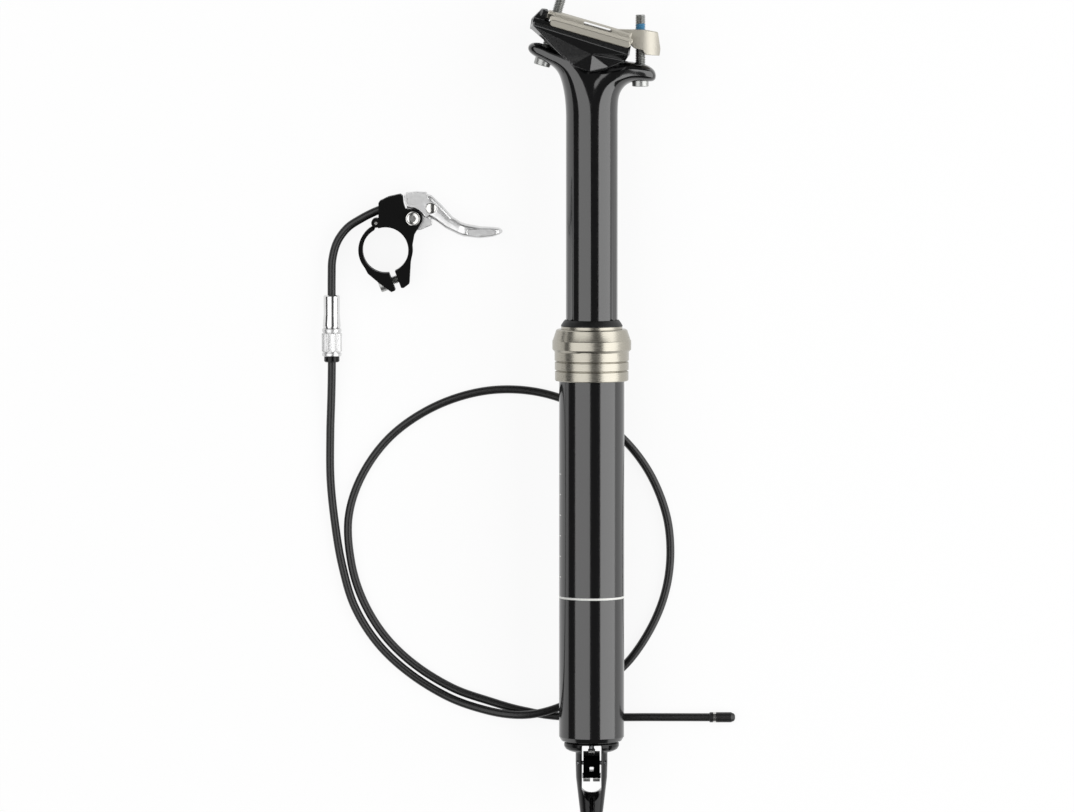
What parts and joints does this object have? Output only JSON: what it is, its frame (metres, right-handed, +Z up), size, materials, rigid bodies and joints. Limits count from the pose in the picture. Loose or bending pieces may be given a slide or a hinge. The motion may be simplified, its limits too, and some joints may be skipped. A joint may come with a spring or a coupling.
{
  "type": "dropper seatpost",
  "caption": "Telescoping bicycle seatpost with a two-bolt saddle clamp and a fork foot, and its hinged thumb-lever remote on a cable with a barrel adjuster.",
  "frame": {"origin": "on the post's axis at the collar's lower face, where the frame's seat tube ends against it", "axes": "+Y along the post towards the saddle, +X towards the bicycle's front, +Z up from the floor that the part lies on, across the post"},
  "size_m": [0.2016, 0.3976, 0.052],
  "materials": {
    "black_tube": "gloss black anodised aluminium tube",
    "black_stanchion": "polished black anodised aluminium",
    "black_forged": "black anodised forging, facets polished",
    "black_anodised": "satin black anodised aluminium",
    "black_steel": "blackened steel",
    "titanium_grey": "turned, titanium-grey anodised",
    "silver_forged": "blasted silver forging",
    "silver_lever": "polished silver casting",
    "bright_alloy": "bright turned",
    "raw_alloy": "satin turned",
    "bolt_steel": "zinc-plated steel",
    "steel": "ground steel",
    "chrome_plate": "chrome plated",
    "brass": "machined brass",
    "black_rubber": "matt moulded rubber",
    "bushing_plastic": "acetal",
    "cable_housing": "extruded black housing jacket",
    "ferrule_black": "moulded black nylon"
  },
  "bodies": {
    "lower_post": {"outer_tube": "black_tube", "collar": "titanium_grey", "wiper_ring": "bright_alloy", "wiper_seal": "black_rubber", "upper_bushing": "bushing_plastic", "foot_plug": "black_anodised", "plug_o_ring": "black_rubber", "bottom_bumper": "black_rubber", "piston_rod": "steel", "piston": "raw_alloy", "piston_o_ring": "black_rubber", "rocker_pin": "steel", "clamp_body": "black_anodised", "strap_hinge_pin": "steel", "lever_pivot_bolt": "bolt_steel", "inner_wire": "steel", "housing_upper": "cable_housing", "adjuster_body": "chrome_plate", "adjuster_cap": "black_anodised", "housing_lower": "cable_housing", "end_ferrule": "ferrule_black", "ferrule_ring": "bright_alloy"},
    "stanchion": {"stanchion_head": "black_stanchion", "lower_bushing": "bushing_plastic", "guide_keys": "brass", "cartridge_tube": "raw_alloy", "cartridge_gland": "raw_alloy", "gland_seal": "black_rubber", "cartridge_cap": "raw_alloy"},
    "saddle_clamp": {"lower_clamp": "black_forged", "upper_clamp": "silver_forged"},
    "front_screw": {"front_bolt": "bolt_steel", "front_washer": "bolt_steel"},
    "rear_screw": {"rear_bolt": "bolt_steel", "rear_washer": "bolt_steel"},
    "rocker": {"rocker": "black_steel", "cable_anchor": "steel"},
    "release_pin": {"release_pin": "raw_alloy"},
    "strap": {"clamp_strap": "black_anodised"},
    "strap_screw": {"clamp_bolt": "bolt_steel"},
    "lever": {"thumb_lever": "silver_lever", "lever_bushing": "brass", "lever_spring": "steel", "cable_nipple": "bright_alloy"},
    "barrel": {"adjuster_barrel": "raw_alloy"}
  },
  "joints": [
    {"name": "post_drop", "type": "slide", "parent": "lower_post", "child": "stanchion", "axis": [0, -1, 0], "range_m": [0, 0.1]},
    {"name": "saddle_tilt", "type": "hinge", "parent": "stanchion", "child": "saddle_clamp", "pos_m": [0.001, 0.1657, 0], "axis": [0, 0, 1], "range_deg": [-4, 4]},
    {"name": "front_screw_slide", "type": "slide", "parent": "saddle_clamp", "child": "front_screw", "axis": [0, 1, 0], "range_m": [-0.002, 0.002]},
    {"name": "rear_screw_slide", "type": "slide", "parent": "saddle_clamp", "child": "rear_screw", "axis": [0.279, 0.9603, 0], "range_m": [-0.002, 0.002]},
    {"name": "rocker_turn", "type": "hinge", "parent": "lower_post", "child": "rocker", "pos_m": [0, -0.1856, 0.0035], "axis": [1, 0, 0], "range_deg": [0, 19], "stiffness_Nm_per_rad": 0.01},
    {"name": "release_pin_slide", "type": "slide", "parent": "lower_post", "child": "release_pin", "axis": [0, 1, 0], "range_m": [0, 0.0008]},
    {"name": "lever_press", "type": "hinge", "parent": "lower_post", "child": "lever", "pos_m": [-0.0868, 0.0779, -0.02], "axis": [0, 0, -1], "range_deg": [0, 25], "stiffness_Nm_per_rad": 0.02},
    {"name": "strap_close", "type": "hinge", "parent": "lower_post", "child": "strap", "pos_m": [-0.1047, 0.0757, -0.02], "axis": [0, 0, 1], "range_deg": [0, 3]},
    {"name": "strap_screw_slide", "type": "slide", "parent": "lower_post", "child": "strap_screw", "axis": [0.9367, 0.3502, 0], "range_m": [0, 0.0016]},
    {"name": "barrel_turn", "type": "hinge", "parent": "lower_post", "child": "barrel", "pos_m": [-0.1264, 0.0174, -0.0209], "axis": [0, 1, 0], "continuous": true}
  ],
  "couplings": [
    {"joint": "front_screw_slide", "follows": "saddle_tilt", "m_per_rad": -0.0224},
    {"joint": "rear_screw_slide", "follows": "saddle_tilt", "m_per_rad": 0.0206},
    {"joint": "rocker_turn", "follows": "release_pin_slide", "rad_per_m": 384.6},
    {"joint": "strap_screw_slide", "follows": "strap_close", "m_per_rad": 0.026}
  ]
}
